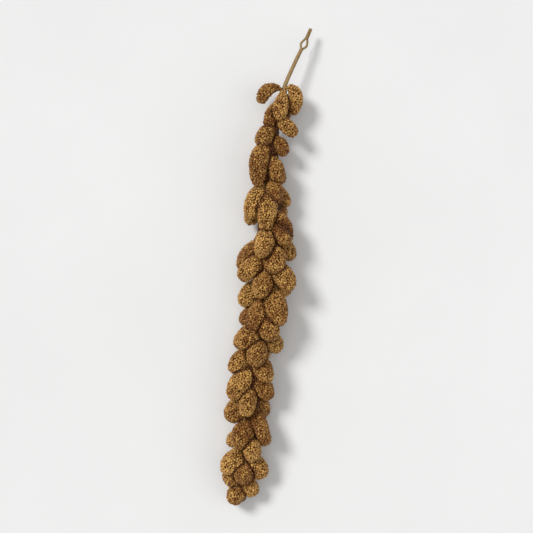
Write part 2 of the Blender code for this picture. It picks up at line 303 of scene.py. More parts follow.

# Straw: long fibres of two tones with brown spots. The brown is shares of the straw's red, green and
# blue, and the hollow in the middle of the cut end is darker than that, as painted shade.
FIBRE_NOISE = (1500.0, 4.0)
FIBRE_STRETCH = (1.0, 0.05, 1.0)
FIBRE_PLACES = (0.32, 0.56)
FIBRE_BUMP = 0.10 * MM
SPOT_NOISE = (120.0, 2.0)
SPOT_RANGE = (0.56, 0.72)
SPOT_AMOUNT = (0.0, 0.5)
STRAW_BROWN = (0.55, 0.45, 0.32)
PITH_DARKNESS = 0.35
STRAW_ROUGHNESS = (0.62, 0.42)
STRAW_SHEEN = 0.20

# Painted shade on the straw inside the head: the share of the settings' colour that the side stems and
# the deeper rachis keep
STEM_LIGHT = 0.8
RACHIS_LIGHT = 0.55

# The floor: its faint mottling and its side
MOTTLE_NOISE = (9.0, 2.0)
DIM_FLOOR = 0.97
FLOOR_ROUGHNESS = 0.85
FLOOR_SIZE = 4.0

# The camera, in millimetres
LENS = 100.0
SENSOR = 36.0

# The light from all round and the backdrop. Then each light's name, the way that it comes from, its
# width in degrees and its power.
SKY = (0.97, 0.98, 1.0, 1.0)
WORLD_LIGHT = 0.30
BACKDROP_LIGHT = 0.86
LIGHTS = (
    ("key", (-0.55, 0.45, 0.85), 18.0, 2.1),
    ("fill", (0.8, -0.2, 0.7), 50.0, 0.45),
    ("top", (0.0, 0.1, 1.2), 45.0, 0.5),
)


class MilletSettings(bpy.types.PropertyGroup):
    """Sizes and colours of the grains and the straw."""

    grain_gap: bpy.props.FloatProperty(
        name="Grain gap",
        description="The least distance from one grain's middle to the next",
        default=1.30 * MM,
        min=1.0 * MM,
        unit="LENGTH",
    )
    grain_size: bpy.props.FloatProperty(
        name="Grain size",
        description="Thickness of a grain",
        default=1.66 * MM,
        min=1.0 * MM,
        unit="LENGTH",
    )
    pale_grain: bpy.props.FloatVectorProperty(
        name="Pale grain",
        description="Colour of the palest grains",
        subtype="COLOR",
        size=3,
        default=(0.74, 0.42, 0.115),
    )
    brown_grain: bpy.props.FloatVectorProperty(
        name="Brown grain",
        description="Colour of the darkest grains",
        subtype="COLOR",
        size=3,
        default=(0.22, 0.083, 0.014),
    )
    # The husks' colour: partly their own brown, partly painted shade deep between the grains
    husk: bpy.props.FloatVectorProperty(
        name="Husk",
        description="Colour of the husks between the grains",
        subtype="COLOR",
        size=3,
        default=(0.085, 0.028, 0.005),
    )
    straw: bpy.props.FloatVectorProperty(
        name="Straw",
        description="Colour of the stalk",
        subtype="COLOR",
        size=3,
        default=(0.33, 0.225, 0.095),
    )
    stem: bpy.props.FloatVectorProperty(
        name="Stem",
        description="Colour of the stems inside the head",
        subtype="COLOR",
        size=3,
        default=(0.40, 0.235, 0.075),
    )


class StageSettings(bpy.types.PropertyGroup):
    """The floor's colour, and how large the camera shows the head."""

    floor: bpy.props.FloatVectorProperty(
        name="Floor",
        description="Colour of the floor",
        subtype="COLOR",
        size=3,
        default=(0.83, 0.83, 0.82),
    )
    fill: bpy.props.FloatProperty(
        name="Fill",
        description="Share of the picture's height that the head takes up",
        default=0.92,
        min=0.3,
        max=1.0,
        subtype="FACTOR",
    )


def in_metres(line):
    """A line's points as vectors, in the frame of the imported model."""
    middle = Vector((*MIDDLE, 0.0))
    return [(Vector(point) - middle) * MM for point in line]


def on_curve(points, t):
    """The point at t, from 0 to 1, on a smooth curve through evenly counted points."""
    at = min(max(t, 0.0), 1.0) * (len(points) - 1)
    i = min(int(at), len(points) - 2)
    f = at - i
    a = points[max(i - 1, 0)]
    b = points[i]
    c = points[i + 1]
    d = points[min(i + 2, len(points) - 1)]
    return 0.5 * (
        2.0 * b
        + (c - a) * f
        + (2.0 * a - 5.0 * b + 4.0 * c - d) * f ** 2
        + (3.0 * b - a - 3.0 * c + d) * f ** 3
    )


def along_curve(points, t):
    """The direction of the smooth curve at t."""
    return (on_curve(points, t + LINE_STEP) - on_curve(points, t - LINE_STEP)).normalized()


def smooth_step(t):
    """A smooth rise from 0 to 1, of a number or an array."""
    t = np.clip(t, 0.0, 1.0)
    return t * t * (3.0 - 2.0 * t)


def mix(pair, t):
    """A value that runs from the first of a pair to the second."""
    return pair[0] + (pair[1] - pair[0]) * t


def fullness(t):
    """How wide the head is at t against its full width: narrow at the neck, thin at the tip."""
    filling = min(1.0, NECK_SHARE + (t - NECK_PLACE) * WIDENING)
    near_tip = max(0.0, (t - THINNING_START) / (1.0 - THINNING_START))
    return filling * (1.0 - THINNING * near_tip ** 2)


def side_axes(forward):
    """Two directions across a line: level with the surface, and up from it."""
    across = forward.cross(UP).normalized()
    return across, across.cross(forward).normalized()


def cluster_list():
    """Every cluster as its root, the point that it heads for, its end and its thickness."""
    draw = random.Random(SEED)
    rachis = in_metres(RACHIS_LINE)
    clusters = []
    for place, way, end, thickness in FIRST_CLUSTERS:
        root = on_curve(rachis, place)
        way = root + Vector(way) * MM
        clusters.append((root, way, root + Vector(end) * MM, thickness * MM, draw.uniform(0.0, FULL_TURN)))
    turn = 0.0
    for i in range(BODY_CLUSTERS):
        share = (i + 0.5) / BODY_CLUSTERS
        t = mix(BODY_PLACES, share)
        turn += math.radians(TURN_DEG + draw.uniform(-TURN_SCATTER_DEG, TURN_SCATTER_DEG))
        forward = along_curve(rachis, t)
        across, up = side_axes(forward)
        radial = across * math.cos(turn) + up * math.sin(turn)
        thickness = mix(CLUSTER_THICKNESS, share) * draw.uniform(*THICKNESS_SCATTER)
        pressed = math.sin(turn) ** 2
        reach = mix(BODY_RADIUS, share) * fullness(t) * draw.uniform(*RADIUS_SCATTER)
        reach *= mix((1.0, PRESSED_SHARE), pressed)
        lean = mix(SIDE_LEAN, pressed) * draw.uniform(*LEAN_SCATTER)
        root = on_curve(rachis, t)
        way = root + (radial + forward * lean * LEAN_AT_ROOT) * reach / 2
        end = root + (radial + forward * lean) * reach
        clusters.append((root, way, end, thickness, draw.uniform(0.0, FULL_TURN)))
    root = on_curve(rachis, TIP_PLACE)
    onward = along_curve(rachis, 1.0) * TIP_LENGTH
    clusters.append((root, root + onward / 2, root + onward, TIP_THICKNESS, 0.0))
    return clusters


class Cluster:
    """The outer shape of one cluster: a sphere drawn out along a bent axis, slimmer at its root."""

    def __init__(self, root, way, end, thickness, phase):
        self.root, self.way, self.end = (np.array(point) for point in (root, way, end))
        self.phase = phase
        self.radius = thickness / 2
        middle = self.spine(np.array([0.5]))[0]
        self.length = np.linalg.norm(middle - self.root) + np.linalg.norm(self.end - middle)
        self.side = np.array((end - root).orthogonal().normalized())

    def spine(self, share):
        """Points on the bent axis, at shares of the way from the root to the end."""
        s = np.asarray(share)[:, None]
        return self.root * (1 - s) ** 2 + self.way * 2 * s * (1 - s) + self.end * s ** 2

    def levels(self, z, shrink=0.0):
        """For heights z from -1 to 1: the level's middle, its axis, two side axes and its radius."""
        radius = self.radius - shrink
        straight = 1.0 - 2.0 * self.radius / self.length
        share = 0.5 + 0.5 * z * straight
        centre = self.spine(share)
        axis = unit(self.spine(share + AXIS_STEP) - centre)
        one = unit(np.cross(np.broadcast_to(self.side, axis.shape), axis))
        two = np.cross(axis, one)
        slim = mix((ROOT_SHARE, 1.0), smooth_step((0.5 + 0.5 * z) / ROOT_LENGTH_SHARE))
        ring = radius * slim * np.clip(1.0 - np.abs(z) ** BLUNTNESS, 0.0, 1.0) ** (1.0 / BLUNTNESS)
        return centre + axis * (z * radius)[:, None], axis, one, two, ring

    def rings(self, z):
        """The radius at heights z from -1 to 1."""
        return self.levels(z)[4]

    def surface(self, z, angle, shrink=0.0):
        """Points of the surface at heights z and angles round the axis."""
        middle, _, one, two, ring = self.levels(z, shrink)
        ring = ring * (1.0 + LOBE * np.sin(2.0 * angle + LOBE_TWIST * z + self.phase))
        return middle + (one * np.cos(angle)[:, None] + two * np.sin(angle)[:, None]) * ring[:, None]

    def holds(self, points, share):
        """Which points are inside this cluster, shrunk to a share of its size."""
        z = np.linspace(-1.0, 1.0, HELD_LEVELS)
        middle, axis, _, _, ring = self.levels(z)
        away = points[:, None, :] - middle[None, :, :]
        height = np.einsum("pkc,kc->pk", away, axis)
        nearest = np.argmin(np.abs(height), axis=1)
        rows = np.arange(len(points))
        gap = away[rows, nearest] - axis[nearest] * height[rows, nearest][:, None]
        return (np.linalg.norm(gap, axis=1) < ring[nearest] * share) & (
            np.abs(height[rows, nearest]) < self.radius * HELD_SHARE
        )


def unit(vectors):
    """Vectors of length 1."""
    return vectors / np.maximum(np.linalg.norm(vectors, axis=-1, keepdims=True), TINY)


class Core:
    """The crowded middle of the head, round the rachis."""

    def __init__(self):
        self.line = in_metres(RACHIS_LINE)

    def radius(self, t):
        """The radius at a place on the rachis."""
        from_neck = CORE_END_SHARE + CORE_SWELL[0] * (t - CORE_PLACES[0])
        from_tip = CORE_END_SHARE + CORE_SWELL[1] * (CORE_PLACES[1] - t)
        full = CORE_SHARE * mix(BODY_RADIUS, t) * fullness(t)
        return max(RACHIS_RADIUS[1], full * min(1.0, from_neck, from_tip))

    def surface(self, z, angle):
        """Points of the surface at heights z from -1 to 1, and angles round the rachis."""
        points = []
        for height, turn in zip(z, angle):
            t = mix(CORE_PLACES, 0.5 + 0.5 * height)
            across, up = side_axes(along_curve(self.line, t))
            out = across * math.cos(turn) + up * math.sin(turn)
            points.append(on_curve(self.line, t) + out * self.radius(t))
        return np.array(points)

    def rings(self, z):
        """The radius at heights z from -1 to 1."""
        return np.array([self.radius(mix(CORE_PLACES, 0.5 + 0.5 * height)) for height in z])


def spaced(places, gap, before):
    """The numbers of places, in their order, that are a gap from each other and from those before."""
    numbers = range(len(places))
    if before:
        tree = KDTree(len(before))
        for number in before:
            tree.insert(places[number], number)
        tree.balance()
        numbers = [number for number in numbers if tree.find(places[number])[2] > gap]
    kept = np.empty_like(places)
    taken = []
    for number in numbers:
        near = kept[:len(taken)] - places[number]
        if not taken or np.min(np.einsum("kc,kc->k", near, near)) > gap ** 2:
            kept[len(taken)] = places[number]
            taken.append(number)
    return taken


def grain_places(body, gap, draw):
    """Uneven places for grains on a body, a gap apart and with smaller grains in the room left between
    them: the places, the way out and the way on there, and each grain's share of the full size."""
    z = np.linspace(-NEAR_END, NEAR_END, LEVELS)
    ring = body.rings(z)
    edge = body.surface(z, np.zeros(LEVELS))
    step = np.linalg.norm(np.diff(edge, axis=0), axis=1)
    area = np.concatenate([[0.0], np.cumsum((ring[1:] + ring[:-1]) * math.pi * step)])
    count = int(area[-1] / gap ** 2 * TRIES)
    heights = np.interp(draw.uniform(0.0, area[-1], count), area, z)
    angles = draw.uniform(0.0, FULL_TURN, count)
    tried = body.surface(heights, angles)
    large = spaced(tried, gap, [])
    small = spaced(tried, gap * SMALL_SHARE, large)
    taken = large + small
    shares = np.array([1.0] * len(large) + [SMALL_SHARE] * len(small))
    heights, angles, here = heights[taken], angles[taken], tried[taken]
    on = body.surface(np.clip(heights + NEARBY, -1.0, 1.0), angles)
    on = on - body.surface(np.clip(heights - NEARBY, -1.0, 1.0), angles)
    round_it = body.surface(heights, angles + NEARBY) - here
    out = unit(np.cross(round_it, on))
    return here, out, unit(on), shares


def make_mesh(name, points, faces, smooth=True):
    """A mesh object from arrays of points and of faces with one number of corners."""
    mesh = bpy.data.meshes.new(name)
    corners = faces.shape[1]
    mesh.vertices.add(len(points))
    mesh.vertices.foreach_set("co", np.ascontiguousarray(points, dtype=np.float32).ravel())
    mesh.loops.add(faces.size)
    mesh.loops.foreach_set("vertex_index", np.ascontiguousarray(faces, dtype=np.int32).ravel())
    mesh.polygons.add(len(faces))
    mesh.polygons.foreach_set("loop_start", np.arange(len(faces), dtype=np.int32) * corners)
    mesh.update(calc_edges=True)
    mesh.validate()
    if smooth:
        mesh.shade_smooth()
    thing = bpy.data.objects.new(name, mesh)
    bpy.context.scene.collection.objects.link(thing)
    return thing


def add_values(thing, name, values):
    """Keeps one number for each point of a mesh, which its material reads."""
    layer = thing.data.attributes.new(name, "FLOAT", "POINT")
    layer.data.foreach_set("value", np.ascontiguousarray(values, dtype=np.float32))


def ovoid(segments, rings):
    """Points and triangles of one grain of radius 1, its tip along +Z."""
    polar = np.linspace(math.pi, 0.0, rings + 1)[1:-1]
    angle = np.arange(segments) * FULL_TURN / segments
    level = np.stack([np.cos(angle), np.sin(angle), np.ones(segments)], axis=1)
    points = [np.array([[0.0, 0.0, -1.0]])]
    points += [level * (math.sin(p), math.sin(p), math.cos(p)) for p in polar]
    points.append(np.array([[0.0, 0.0, 1.0]]))
    last = 1 + segments * (rings - 1)
    faces = []
    for i in range(segments):
        after = (i + 1) % segments
        faces.append((0, 1 + after, 1 + i))
        faces.append((last, last - segments + i, last - segments + after))
        for low in range(1, last - segments, segments):
            high = low + segments
            faces.append((low + i, low + after, high + after))
            faces.append((low + i, high + after, high + i))
    return np.concatenate(points), np.array(faces)


def held_by_others(body, clusters, places, share):
    """Which places are inside another cluster, taken at a share of its size."""
    held = np.zeros(len(places), dtype=bool)
    middle = places.mean(axis=0)
    width = np.linalg.norm(places - middle, axis=1).max()
    for other in clusters:
        apart = np.linalg.norm(other.spine(np.array([0.5]))[0] - middle)
        if other is not body and apart < width + other.length / 2 + other.radius * share:
            held |= other.holds(places, share)
    return held


def held_by_stalk(places, half):
    """Which places are where the stalk comes in."""
    stalk = in_metres(STALK_LINE)
    away = places - np.array(stalk[-1])
    stalk_way = np.array(along_curve(stalk, 1.0))
    along = away @ stalk_way
    beside = np.linalg.norm(away - along[:, None] * stalk_way, axis=1)
    return (along < 0.0) & (beside < STALK_RADIUS[1] + half)


def placed_grains(body, clusters, shape, settings, draw):
    """The grains of one cluster or of the core: their points, how high on its grain each point is,
    and how much painted shade each grain gets for lying in a valley between clusters, from 0 to 2."""
    half = settings.grain_size / 2
    places, out, on, shares = grain_places(body, settings.grain_gap, draw)
    clear = ~held_by_others(body, clusters, places, INSIDE_SHARE) & ~held_by_stalk(places, half)
    clear &= places[:, 2] > -half
    places, out, on, shares = places[clear], out[clear], on[clear], shares[clear]
    count = len(places)
    tip = unit(out * (1.0 - GRAIN_LEAN) + on * GRAIN_LEAN + draw.normal(0.0, TIP_SCATTER, (count, 3)))
    one = unit(np.cross(tip, draw.normal(size=(count, 3))))
    axes = np.stack([one, np.cross(tip, one), tip], axis=1)
    size = settings.grain_size * shares * draw.uniform(*GRAIN_SIZES, count)
    sink = half * draw.uniform(*GRAIN_SINK, count)
    turned = np.einsum("vk,nkc->nvc", shape, axes) * size[:, None, None]
    points = turned + (places - out * sink[:, None])[:, None, :]
    low = np.array(CAD_BOX[0]) + (0.0, 0.0, FLOOR_GAP)
    points += np.maximum(low - points.min(axis=1), 0.0)[:, None, :]
    points -= np.maximum(points.max(axis=1) - np.array(CAD_BOX[1]), 0.0)[:, None, :]
    height = np.einsum("nvc,nc->nv", turned, out) / (size * max(GRAIN_SHAPE))[:, None]
    # Painted shade: one step for each enlarged cluster that reaches the grain
    valley = sum(held_by_others(body, clusters, places, share).astype(float) for share in VALLEY_SHARES)
    return points, 0.5 + 0.5 * height, valley


def add_grains(settings):
    """Every grain of the head as its own ovoid, in pieces of a few thousand grains."""
    draw = np.random.default_rng(GRAIN_SEED)
    clusters = [Cluster(*cluster) for cluster in cluster_list()]
    shape, shape_faces = ovoid(GRAIN_SEGMENTS, GRAIN_RINGS)
    shape = shape * GRAIN_SHAPE
    batches = [[]]
    core = Core()
    for body in clusters + [core]:
        points, height, valley = placed_grains(body, clusters, shape, settings, draw)
        # Painted shade on grains in valleys, and more on the core: a lower tone and more of each grain in
        # the husk's dark colour
        if body is core:
            valley = valley + CORE_SHADE
        height = height - valley[:, None] * VALLEY_SHADE_DEPTH
        tone = draw.normal(MIDDLE_TONE, CLUSTER_TONES) + draw.normal(0.0, GRAIN_TONES, len(points))
        tone = np.clip(tone - valley * VALLEY_SHADE_TONE, 0.0, 1.0)[:, None] + np.zeros(len(shape))
        if sum(len(part[0]) for part in batches[-1]) + len(points) > GRAINS_PER_PIECE:
            batches.append([])
        batches[-1].append((points, height, tone))
    look = grain_material(settings)
    for number, batch in enumerate(batches):
        points, height, tone = (np.concatenate(parts) for parts in zip(*batch))
        count, each = points.shape[:2]
        faces = (shape_faces[None, :, :] + (np.arange(count) * each)[:, None, None]).reshape(-1, 3)
        grains = make_mesh(f"grains_{number + 1}", points.reshape(-1, 3), faces)
        add_values(grains, "height", height.ravel())
        add_values(grains, "tone", tone.ravel())
        grains.data.materials.append(look)
        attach(grains, BODY)
        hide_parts("seed_head")


def tube_faces(count, segments):
    """The triangles of a closed tube of so many rings. Its last two points are the middles of its ends."""
    last = (count - 1) * segments
    foot = last + segments
    faces = []
    for i in range(segments):
        after = (i + 1) % segments
        for row in range(0, last, segments):
            faces.append((row + i, row + after, row + after + segments))
            faces.append((row + i, row + after + segments, row + i + segments))
        faces.append((foot, after, i))
        faces.append((foot + 1, last + i, last + after))
    return np.array(faces)


def tube_grid(line, radii, segments, shape=None):
    """Points and triangles of a closed tube along a line."""
    count = len(line)
    angles = np.arange(segments) * FULL_TURN / segments
    rows = []
    for i, place in enumerate(line):
        before = line[max(i - 1, 0)]
        after = line[min(i + 1, count - 1)]
        across, up = side_axes((after - before).normalized())
        reach = radii[i] * (shape(i / (count - 1), angles) if shape else np.ones(segments))
        ring = np.cos(angles)[:, None] * np.array(across) + np.sin(angles)[:, None] * np.array(up)
        rows.append(np.array(place) + ring * reach[:, None])
    points = np.concatenate(rows + [np.array([line[0]]), np.array([line[-1]])])
    return points, tube_faces(count, segments)


def joined(parts):
    """Several grids of points and faces as one."""
    points, faces, count = [], [], 0
    for part_points, part_faces in parts:
        points.append(part_points)
        faces.append(part_faces + count)
        count += len(part_points)
    return np.concatenate(points), np.concatenate(faces)


def husk_grid(cluster):
    """The dark body of husks under the grains of one cluster."""
    z = -np.cos(np.linspace(HUSK_CAP, math.pi - HUSK_CAP, HUSK_LEVELS))
    angles = np.arange(HUSK_SEGMENTS) * FULL_TURN / HUSK_SEGMENTS
    points = cluster.surface(np.repeat(z, HUSK_SEGMENTS), np.tile(angles, HUSK_LEVELS), HUSK_DEPTH)
    ends = cluster.surface(np.array([-1.0, 1.0]), np.zeros(2), HUSK_DEPTH)
    points = np.concatenate([points, ends])
    points[:, 2] = np.maximum(points[:, 2], HUSK_DEPTH)
    return points, tube_faces(HUSK_LEVELS, HUSK_SEGMENTS)


def add_husks(settings):
    """The dark husks that the grains of every cluster sit in."""
    points, faces = joined([husk_grid(Cluster(*cluster)) for cluster in cluster_list()])
    husks = make_mesh("husks", points, faces)
    husks.data.materials.append(husk_material(settings))
    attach(husks, BODY)
    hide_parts("seed_head")


def ribs(kind, share, angles):
    """Ribs of one kind round a stem, as shares of its radius."""
    height, count, wind = kind
    return 1.0 + height * np.sin(count * angles + wind * share)


def add_rachis(settings):
    """The ribbed rachis, from the neck to the tip, with the crowded stems round it."""
    rachis = in_metres(RACHIS_LINE)
    shares = [i / RACHIS_STEPS for i in range(RACHIS_STEPS + 1)]
    line = [on_curve(rachis, share * RACHIS_END) for share in shares]
    draw = np.random.default_rng(GRAIN_SEED + 1)

    def ribbed(share, angles):
        return ribs(RACHIS_RIBS, share, angles) + draw.normal(0.0, RACHIS_ROUGHNESS, len(angles))

    radii = [mix(RACHIS_RADIUS, share) for share in shares]
    points, faces = tube_grid(line, radii, RACHIS_SEGMENTS, ribbed)
    stem = make_mesh("rachis", points, faces)
    stem.data.materials.append(straw_material("rachis_straw", settings.stem, RACHIS_LIGHT))
    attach(stem, BODY)
    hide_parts("seed_head")
    core = Core()
    places = [mix(CORE_PLACES, share) for share in shares]
    radii = [core.radius(t) for t in places]

    def crowded(share, angles):
        return ribs(CORE_RIBS, share, angles) + draw.normal(0.0, CORE_ROUGHNESS, len(angles))

    points, faces = tube_grid([on_curve(rachis, t) for t in places], radii, CORE_SEGMENTS, crowded)
    stems = make_mesh("inner_stems", points, faces)
    # Painted shade: the crowded stems take the husks' dark colour, for the shade deep inside the head
    stems.data.materials.append(husk_material(settings))
    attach(stems, BODY)
    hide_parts("seed_head")


def stem_line(cluster, place, neckward):
    """The line of a side stem: out from the rachis above a cluster, then down onto the cluster's back."""
    rachis = in_metres(RACHIS_LINE)
    foot = np.array(on_curve(rachis, place - STEM_START))
    z = np.array([STEM_END])
    angles = np.arange(STEM_LOOKS) * FULL_TURN / STEM_LOOKS
    ring = cluster.surface(np.repeat(z, STEM_LOOKS), angles, STEM_SINK)
    rest = ring[np.argmax(ring @ neckward)]
    outward = unit(cluster.end - cluster.root)
    bend = (foot + rest) / 2 + (outward + neckward) * STEM_BOW
    shares = np.linspace(0.0, 1.0, STEM_STEPS)[:, None]
    return foot * (1 - shares) ** 2 + bend * 2 * shares * (1 - shares) + rest * shares ** 2


def add_side_stems(settings):
    """The straw stems of the body's clusters, seen where the head opens."""
    rachis = in_metres(RACHIS_LINE)
    draw = random.Random(GRAIN_SEED)
    parts = []
    for i, made in enumerate(cluster_list()[len(FIRST_CLUSTERS):-1]):
        place = mix(BODY_PLACES, (i + 0.5) / BODY_CLUSTERS)
        neckward = -np.array(along_curve(rachis, place))
        line = [Vector(point) for point in stem_line(Cluster(*made), place, neckward)]
        thick = mix(STEM_RADIUS, i / BODY_CLUSTERS) * draw.uniform(*STEM_SCATTER)
        radii = [thick * (1.0 - STEM_TAPER * k / len(line)) for k in range(len(line))]
        parts.append(tube_grid(line, radii, STEM_SEGMENTS))
    points, faces = joined(parts)
    stems = make_mesh("side_stems", points, faces)
    stems.data.materials.append(straw_material("stem_straw", settings.stem, STEM_LIGHT))
    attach(stems, BODY)
    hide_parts("seed_head")


def stalk_stretch(stalk, places, steps, side=0.0):
    """A stretch of the stalk with fine ribs. A side of -1 or 1 gives one strand of the split."""
    stretch = [mix(places, i / steps) for i in range(steps + 1)]
    line, radii = [], []
    for i, t in enumerate(stretch):
        across, _ = side_axes(along_curve(stalk, t))
        bow = math.sin(math.pi * i / steps) ** EYE_ROUNDNESS * EYE_HALF_WIDTH if side else 0.0
        line.append(on_curve(stalk, t) + across * bow * side)
        radii.append(STRAND_RADIUS if side else mix(STALK_RADIUS, t))

    def ribbed(share, angles):
        height = ribs(STALK_RIBS, share, angles) + ribs(FINE_RIBS, share, angles) - 1.0
        return height - STRAND_FLATNESS * np.maximum(0.0, -np.cos(angles) * side)

    return tube_grid(line, radii, STALK_SEGMENTS, ribbed)


def add_stalk(settings):
    """The bare stalk: ribbed straw, split once round an eye, with a few torn fibres at its cut end."""
    stalk = in_metres(STALK_LINE)
    cut_steps, long_steps, strand_steps = STRETCH_STEPS
    round_eye = (EYE[0] - EYE_OVERLAP, EYE[1] + EYE_OVERLAP)
    parts = [
        stalk_stretch(stalk, (CUT_PLACE, EYE[0]), cut_steps),
        stalk_stretch(stalk, (EYE[1], 1.0), long_steps),
        stalk_stretch(stalk, round_eye, strand_steps, -1.0),
        stalk_stretch(stalk, round_eye, strand_steps, 1.0),
    ]
    draw = random.Random(GRAIN_SEED)
    onward = along_curve(stalk, 0.0)
    across, up = side_axes(onward)
    cut_centre = len(parts[0][0]) - 2
    parts[0][0][cut_centre] += np.array(onward) * PITH_DEPTH
    for i in range(FIBRE_COUNT):
        turn = FULL_TURN * i / FIBRE_COUNT + draw.uniform(-FIBRE_SCATTER, FIBRE_SCATTER)
        edge = (across * math.cos(turn) + up * math.sin(turn)) * STALK_RADIUS[0] * FIBRE_OUT
        foot = on_curve(stalk, FIBRE_FOOT) + edge
        head = on_curve(stalk, CUT_PLACE) + edge * FIBRE_SPREAD - onward * draw.uniform(*FIBRE_REACH) * MM
        parts.append(tube_grid([foot, (foot + head) / 2, head], FIBRE_RADII, FIBRE_SEGMENTS))
    points, faces = joined(parts)
    points = np.clip(points, CAD_BOX[0], CAD_BOX[1])
    # Painted shade in the hollow: the dimpled middle of the cut end is marked to be darkened
    pith = np.zeros(len(points))
    pith[cut_centre] = 1.0
    straw = make_mesh("stalk_straw", points, faces)
    add_values(straw, "pith", pith)
    straw.data.materials.append(straw_material("stalk_straw", settings.straw))
    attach(straw, BODY)
    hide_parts("stalk")


def new_material(name):
    """A new node material, its node tree and its shader."""
    made = bpy.data.materials.new(name)
    made.use_nodes = True
    tree = made.node_tree
    return made, tree, tree.nodes["Principled BSDF"]


def darkened(colour, share):
    """A share of a colour."""
    return tuple(part * share for part in colour)


def noise(tree, scale, detail, stretch=(1.0, 1.0, 1.0)):
    """Noise in the piece's own coordinates, its scale in blobs for each metre."""
    place = tree.nodes.new("ShaderNodeTexCoord")
    mapping = tree.nodes.new("ShaderNodeMapping")
    mapping.inputs["Scale"].default_value = stretch
    made = tree.nodes.new("ShaderNodeTexNoise")
    made.inputs["Scale"].default_value = scale
    made.inputs["Detail"].default_value = detail
    tree.links.new(place.outputs["Object"], mapping.inputs["Vector"])
    tree.links.new(mapping.outputs["Vector"], made.inputs["Vector"])
    return made.outputs["Fac"]


def attribute(tree, name):
    """A number kept on the mesh."""
    made = tree.nodes.new("ShaderNodeAttribute")
    made.attribute_name = name
    return made.outputs["Fac"]


def ramp(tree, value, places, colours):
    """A colour ramp through colours at places from 0 to 1."""
    made = tree.nodes.new("ShaderNodeValToRGB")
    elements = made.color_ramp.elements
    while len(elements) < len(places):
        elements.new(0.5)
    for element, place, colour in zip(elements, places, colours):
        element.position = place
        element.color = (*colour, 1.0)
    tree.links.new(value, made.inputs["Fac"])
    return made.outputs["Color"]


def spread(tree, value, before, after):
    """Carries a value from the range before to the range after."""
    made = tree.nodes.new("ShaderNodeMapRange")
    for name, number in zip(("From Min", "From Max", "To Min", "To Max"), (*before, *after)):
        made.inputs[name].default_value = number
    tree.links.new(value, made.inputs["Value"])
    return made.outputs["Result"]


def add_up(tree, one, two):
    """The sum of two values."""
    made = tree.nodes.new("ShaderNodeMath")
    made.operation = "ADD"
    tree.links.new(one, made.inputs[0])
    tree.links.new(two, made.inputs[1])
    return made.outputs["Value"]


def blend_colour(tree, amount, one, two):
    """A mix of two colours, which are sockets or fixed colours."""
    made = tree.nodes.new("ShaderNodeMix")
    made.data_type = "RGBA"
    tree.links.new(amount, made.inputs["Factor"])
    for socket, colour in ((made.inputs["A"], one), (made.inputs["B"], two)):
        if isinstance(colour, bpy.types.NodeSocket):
            tree.links.new(colour, socket)
        else:
            socket.default_value = (*colour, 1.0)
    return made.outputs["Result"]


def bump(tree, shader, height, distance, strength=1.0):
    """Bump from a height, its distance in metres."""
    made = tree.nodes.new("ShaderNodeBump")
    made.inputs["Distance"].default_value = distance
    made.inputs["Strength"].default_value = strength
    tree.links.new(height, made.inputs["Height"])
    tree.links.new(made.outputs["Normal"], shader.inputs["Normal"])


def grain_material(settings):
    """Dry grain: from brown to pale gold by grain and by patch, dark at its base, partly its husk and
    partly painted shade, faintly glossy.
    """
    made, tree, shader = new_material("millet_grain")
    pale, brown, husk = (tuple(getattr(settings, name)) for name in ("pale_grain", "brown_grain", "husk"))
    golden = tuple((p + b) / 2 for p, b in zip(pale, brown))
    patch = spread(tree, noise(tree, *PATCH_NOISE), PATCH_RANGE, PATCH_TONES)
    tone = add_up(tree, attribute(tree, "tone"), patch)
    skin = ramp(tree, tone, TONE_PLACES, (brown, golden, pale))
    # Husk and painted shade: the lower part of each grain takes the husk's dark colour
    deep = spread(tree, attribute(tree, "height"), IN_HUSK, (1.0, 0.0))
    tree.links.new(blend_colour(tree, deep, skin, husk), shader.inputs["Base Color"])
    shader.inputs["Specular IOR Level"].default_value = GRAIN_SHEEN
    fine = noise(tree, *SKIN_NOISE)
    tree.links.new(spread(tree, fine, MIDDLING, GRAIN_ROUGHNESS), shader.inputs["Roughness"])
    bump(tree, shader, fine, SKIN_BUMP, SKIN_STRENGTH)
    return made


def husk_material(settings):
    """Dry husks, deep between the grains, dark partly by their own brown and partly as painted shade.
    The husks and the inner stems share it.
    """
    found = bpy.data.materials.get("millet_husk")
    if found:
        return found
    made, tree, shader = new_material("millet_husk")
    husk = tuple(settings.husk)
    shader.inputs["Specular IOR Level"].default_value = HUSK_SHEEN
    crumbs = noise(tree, *CRUMB_NOISE)
    browns = ramp(tree, crumbs, CRUMB_PLACES, (darkened(husk, DARK_HUSK), husk))
    tree.links.new(browns, shader.inputs["Base Color"])
    tree.links.new(spread(tree, crumbs, MIDDLING, HUSK_ROUGHNESS), shader.inputs["Roughness"])
    bump(tree, shader, crumbs, CRUMB_BUMP)
    return made


def straw_material(name, colour, light=1.0):
    """Dry straw with long fibres, darker streaks and a soft sheen. A light under 1 darkens it as painted
    shade.
    """
    made, tree, shader = new_material(name)
    # Painted shade: straw inside the head keeps only a share of its colour
    pale = darkened(colour, light)
    brown = tuple(part * share for part, share in zip(pale, STRAW_BROWN))
    shader.inputs["Specular IOR Level"].default_value = STRAW_SHEEN
    fibres = noise(tree, *FIBRE_NOISE, FIBRE_STRETCH)
    patches = noise(tree, *SPOT_NOISE)
    skin = ramp(tree, fibres, FIBRE_PLACES, (brown, pale))
    spots = spread(tree, patches, SPOT_RANGE, SPOT_AMOUNT)
    dry = blend_colour(tree, spots, skin, brown)
    dark = darkened(brown, PITH_DARKNESS)
    # Painted shade at the marked hollow of the cut end
    tree.links.new(blend_colour(tree, attribute(tree, "pith"), dry, dark), shader.inputs["Base Color"])
    tree.links.new(spread(tree, fibres, MIDDLING, STRAW_ROUGHNESS), shader.inputs["Roughness"])
    bump(tree, shader, fibres, FIBRE_BUMP)
    return made


